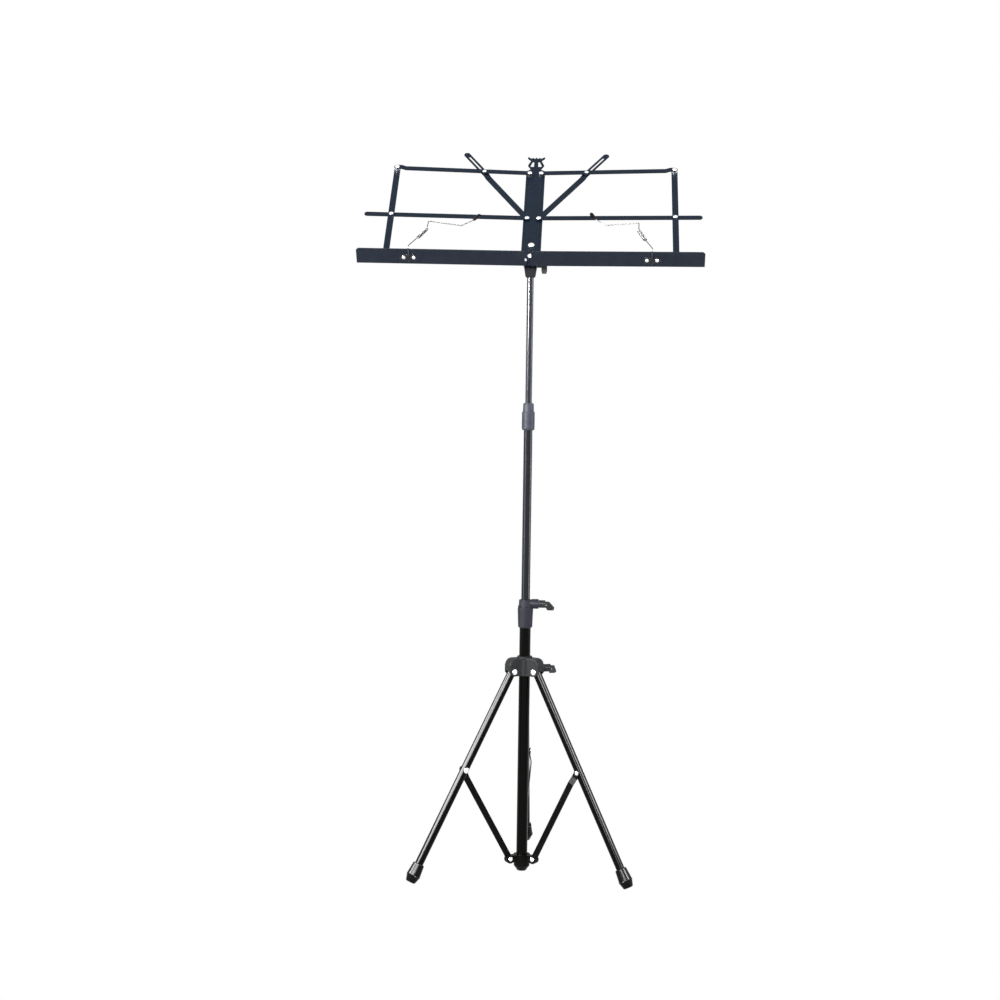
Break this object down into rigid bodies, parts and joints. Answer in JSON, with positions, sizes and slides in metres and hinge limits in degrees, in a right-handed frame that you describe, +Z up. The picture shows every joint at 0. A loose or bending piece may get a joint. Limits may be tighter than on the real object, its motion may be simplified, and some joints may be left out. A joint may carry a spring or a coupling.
{
  "type": "folding music stand",
  "caption": "Folding music stand: a three-legged telescoping mast carries a tilting desk of hinged straps with a shelf and page holders.",
  "frame": {"origin": "on the floor, on the axis of the mast", "axes": "+Z up along the mast, -Y towards the reader, +X to the reader's right"},
  "size_m": [0.4878, 0.2884, 1.0411],
  "materials": {
    "tube_paint": "gloss black paint",
    "upper_tube_paint": "gloss dark grey paint",
    "desk_paint": "satin slate paint",
    "hub_plastic": "moulded",
    "bracket_plastic": "moulded",
    "lower_collar_plastic": "moulded",
    "upper_collar_plastic": "moulded",
    "knob_plastic": "moulded",
    "rubber": "matt",
    "rivet_nickel": "nickel plated",
    "dark_rivet": "blackened",
    "screw_steel": "zinc plated",
    "wire_steel": "bright spring wire",
    "clip_steel": "dark painted sheet",
    "guide_plastic": "moulded"
  },
  "bodies": {
    "mast": {"lower_tube": "tube_paint", "bottom_bracket": "bracket_plastic", "bracket_rivets": "rivet_nickel", "lower_collar": "lower_collar_plastic"},
    "lower_clamp": {"lower_knob": "knob_plastic", "lower_knob_screw": "screw_steel"},
    "middle_mast": {"middle_tube": "tube_paint", "upper_collar": "upper_collar_plastic"},
    "upper_clamp": {"upper_knob": "knob_plastic", "upper_knob_screw": "screw_steel"},
    "upper_guide": {"upper_guide_bush": "guide_plastic"},
    "upper_mast": {"upper_tube": "upper_tube_paint", "tilt_neck": "lower_collar_plastic", "tilt_bolt": "screw_steel"},
    "tilt_clamp": {"tilt_knob": "knob_plastic"},
    "desk": {"desk_plate": "desk_paint", "tilt_bracket": "desk_paint", "bracket_plate_rivets": "rivet_nickel", "desk_pivot_rivets": "rivet_nickel", "top_rail_spacers": "dark_rivet"},
    "hub": {"tripod_hub": "hub_plastic", "hub_rivets": "rivet_nickel"},
    "hub_clamp": {"hub_knob": "knob_plastic", "hub_knob_screw": "screw_steel"},
    "rear_brace_link": {"rear_brace": "tube_paint"},
    "rear_leg_link": {"rear_leg": "tube_paint", "rear_foot": "rubber", "rear_leg_rivet": "rivet_nickel"},
    "right_brace_link": {"right_brace": "tube_paint"},
    "right_leg_link": {"right_leg": "tube_paint", "right_foot": "rubber", "right_leg_rivet": "rivet_nickel"},
    "left_brace_link": {"left_brace": "tube_paint"},
    "left_leg_link": {"left_leg": "tube_paint", "left_foot": "rubber", "left_leg_rivet": "rivet_nickel"},
    "left_upper_link": {"left_upper_rail": "desk_paint", "left_rail_stud": "rivet_nickel"},
    "left_middle_link": {"left_middle_rail": "desk_paint"},
    "left_ledge_link": {"left_ledge": "desk_paint", "left_holder_clip": "clip_steel", "left_clip_rivets": "rivet_nickel"},
    "left_strut_link": {"left_strut": "desk_paint", "left_strut_rivets": "rivet_nickel"},
    "left_diagonal_link": {"left_diagonal": "desk_paint"},
    "left_slide": {"left_slide_pin": "dark_rivet"},
    "left_page_holder": {"left_holder_wire": "wire_steel", "left_holder_tip": "rubber"},
    "right_upper_link": {"right_upper_rail": "desk_paint", "right_rail_stud": "rivet_nickel"},
    "right_middle_link": {"right_middle_rail": "desk_paint"},
    "right_ledge_link": {"right_ledge": "desk_paint", "right_holder_clip": "clip_steel", "right_clip_rivets": "rivet_nickel"},
    "right_strut_link": {"right_strut": "desk_paint", "right_strut_rivets": "rivet_nickel"},
    "right_diagonal_link": {"right_diagonal": "desk_paint"},
    "right_slide": {"right_slide_pin": "dark_rivet"},
    "right_page_holder": {"right_holder_wire": "wire_steel", "right_holder_tip": "rubber"}
  },
  "joints": [
    {"name": "tripod_fold", "type": "hinge", "parent": "mast", "child": "rear_brace_link", "pos_m": [0, 0.02, 0.0195], "axis": [1, 0, 0], "range_deg": [0, 24.2]},
    {"name": "rear_leg_turn", "type": "hinge", "parent": "rear_brace_link", "child": "rear_leg_link", "pos_m": [0, 0.09423, 0.15625], "axis": [-1, 0, 0], "range_deg": [0, 48.5]},
    {"name": "hub_on_rear_leg", "type": "hinge", "parent": "rear_leg_link", "child": "hub", "pos_m": [0, 0.02, 0.293], "axis": [1, 0, 0], "range_deg": [0, 24.3]},
    {"name": "right_leg_turn", "type": "hinge", "parent": "hub", "child": "right_leg_link", "pos_m": [0.01732, -0.01, 0.293], "axis": [0.5, 0.866, 0], "range_deg": [0, 24.3]},
    {"name": "right_brace_turn", "type": "hinge", "parent": "mast", "child": "right_brace_link", "pos_m": [0.01732, -0.01, 0.0195], "axis": [-0.5, -0.866, 0], "range_deg": [0, 24.3]},
    {"name": "left_leg_turn", "type": "hinge", "parent": "hub", "child": "left_leg_link", "pos_m": [-0.01732, -0.01, 0.293], "axis": [0.5, -0.866, 0], "range_deg": [0, 24.3]},
    {"name": "left_brace_turn", "type": "hinge", "parent": "mast", "child": "left_brace_link", "pos_m": [-0.01732, -0.01, 0.0195], "axis": [-0.5, 0.866, 0], "range_deg": [0, 24.3]},
    {"name": "hub_knob_turn", "type": "hinge", "parent": "hub", "child": "hub_clamp", "pos_m": [0.02725, 0.00992, 0.2955], "axis": [0.9397, 0.342, 0], "continuous": true},
    {"name": "lower_knob_turn", "type": "hinge", "parent": "mast", "child": "lower_clamp", "pos_m": [0.0188, 0, 0.3895], "axis": [1, 0, 0], "continuous": true},
    {"name": "upper_knob_turn", "type": "hinge", "parent": "middle_mast", "child": "upper_clamp", "pos_m": [0, 0.0135, 0.6705], "axis": [0, 1, 0], "continuous": true},
    {"name": "middle_tube_slide", "type": "slide", "parent": "mast", "child": "middle_mast", "axis": [0, 0, 1], "range_m": [-0.243, 0.0425]},
    {"name": "upper_tube_slide", "type": "slide", "parent": "middle_mast", "child": "upper_guide", "axis": [0, 0, 1], "range_m": [-0.176, 0.0505]},
    {"name": "desk_swivel", "type": "hinge", "parent": "upper_guide", "child": "upper_mast", "pos_m": [0, 0, 0.65], "axis": [0, 0, 1], "continuous": true},
    {"name": "desk_tilt", "type": "hinge", "parent": "upper_mast", "child": "desk", "pos_m": [0, 0, 0.8714], "axis": [1, 0, 0], "range_deg": [-38, 47]},
    {"name": "tilt_knob_turn", "type": "hinge", "parent": "upper_mast", "child": "tilt_clamp", "pos_m": [0.0093, 0, 0.8714], "axis": [1, 0, 0], "continuous": true},
    {"name": "left_wing_fold", "type": "hinge", "parent": "desk", "child": "left_upper_link", "pos_m": [-0.0084, 0.15163, 1.00624], "axis": [0, 0.6157, -0.788], "range_deg": [0, 77]},
    {"name": "left_middle_turn", "type": "hinge", "parent": "desk", "child": "left_middle_link", "pos_m": [-0.0084, 0.06455, 0.93821], "axis": [0, 0.6157, -0.788], "range_deg": [0, 77.1]},
    {"name": "left_ledge_turn", "type": "hinge", "parent": "desk", "child": "left_ledge_link", "pos_m": [-0.0084, -0.01346, 0.87726], "axis": [0, 0.6157, -0.788], "range_deg": [0, 77.1]},
    {"name": "left_strut_turn", "type": "hinge", "parent": "left_middle_link", "child": "left_strut_link", "pos_m": [-0.20439, 0.06617, 0.93947], "axis": [0, 0.6157, -0.788], "range_deg": [-77.1, 0]},
    {"name": "left_diagonal_turn", "type": "hinge", "parent": "desk", "child": "left_diagonal_link", "pos_m": [-0.0084, 0.06455, 0.93821], "axis": [0, 0.6157, -0.788], "range_deg": [0, 26.43]},
    {"name": "left_slide_run", "type": "slide", "parent": "left_diagonal_link", "child": "left_slide", "axis": [-0.5149, 0.6755, 0.5278], "range_m": [0, 0.04671]},
    {"name": "left_holder_turn", "type": "hinge", "parent": "left_ledge_link", "child": "left_page_holder", "pos_m": [-0.17013, -0.02241, 0.87026], "axis": [0, -0.6157, 0.788], "range_deg": [-30, 95]},
    {"name": "right_wing_fold", "type": "hinge", "parent": "desk", "child": "right_upper_link", "pos_m": [0.0084, 0.15163, 1.00624], "axis": [0, -0.6157, 0.788], "range_deg": [0, 77]},
    {"name": "right_middle_turn", "type": "hinge", "parent": "desk", "child": "right_middle_link", "pos_m": [0.0084, 0.06455, 0.93821], "axis": [0, -0.6157, 0.788], "range_deg": [0, 77.1]},
    {"name": "right_ledge_turn", "type": "hinge", "parent": "desk", "child": "right_ledge_link", "pos_m": [0.0084, -0.01346, 0.87726], "axis": [0, -0.6157, 0.788], "range_deg": [0, 77.1]},
    {"name": "right_strut_turn", "type": "hinge", "parent": "right_middle_link", "child": "right_strut_link", "pos_m": [0.20439, 0.06617, 0.93947], "axis": [0, -0.6157, 0.788], "range_deg": [-77.1, 0]},
    {"name": "right_diagonal_turn", "type": "hinge", "parent": "desk", "child": "right_diagonal_link", "pos_m": [0.0084, 0.06455, 0.93821], "axis": [0, -0.6157, 0.788], "range_deg": [0, 26.43]},
    {"name": "right_slide_run", "type": "slide", "parent": "right_diagonal_link", "child": "right_slide", "axis": [0.5149, 0.6755, 0.5278], "range_m": [0, 0.04671]},
    {"name": "right_holder_turn", "type": "hinge", "parent": "right_ledge_link", "child": "right_page_holder", "pos_m": [0.17013, -0.02241, 0.87026], "axis": [0, 0.6157, -0.788], "range_deg": [-30, 95]}
  ],
  "couplings": [
    {"joint": "rear_leg_turn", "follows": "tripod_fold", "ratio": 2},
    {"joint": "hub_on_rear_leg", "follows": "tripod_fold", "ratio": 1},
    {"joint": "right_leg_turn", "follows": "tripod_fold", "ratio": 1},
    {"joint": "right_brace_turn", "follows": "tripod_fold", "ratio": 1},
    {"joint": "left_leg_turn", "follows": "tripod_fold", "ratio": 1},
    {"joint": "left_brace_turn", "follows": "tripod_fold", "ratio": 1},
    {"joint": "left_middle_turn", "follows": "left_wing_fold", "ratio": 1},
    {"joint": "left_ledge_turn", "follows": "left_wing_fold", "ratio": 1},
    {"joint": "left_strut_turn", "follows": "left_wing_fold", "ratio": -1},
    {"joint": "left_diagonal_turn", "follows": "left_wing_fold", "ratio": 0.3419},
    {"joint": "left_slide_run", "follows": "left_wing_fold", "m_per_rad": 0.03468},
    {"joint": "right_middle_turn", "follows": "right_wing_fold", "ratio": 1},
    {"joint": "right_ledge_turn", "follows": "right_wing_fold", "ratio": 1},
    {"joint": "right_strut_turn", "follows": "right_wing_fold", "ratio": -1},
    {"joint": "right_diagonal_turn", "follows": "right_wing_fold", "ratio": 0.3419},
    {"joint": "right_slide_run", "follows": "right_wing_fold", "m_per_rad": 0.03468}
  ]
}
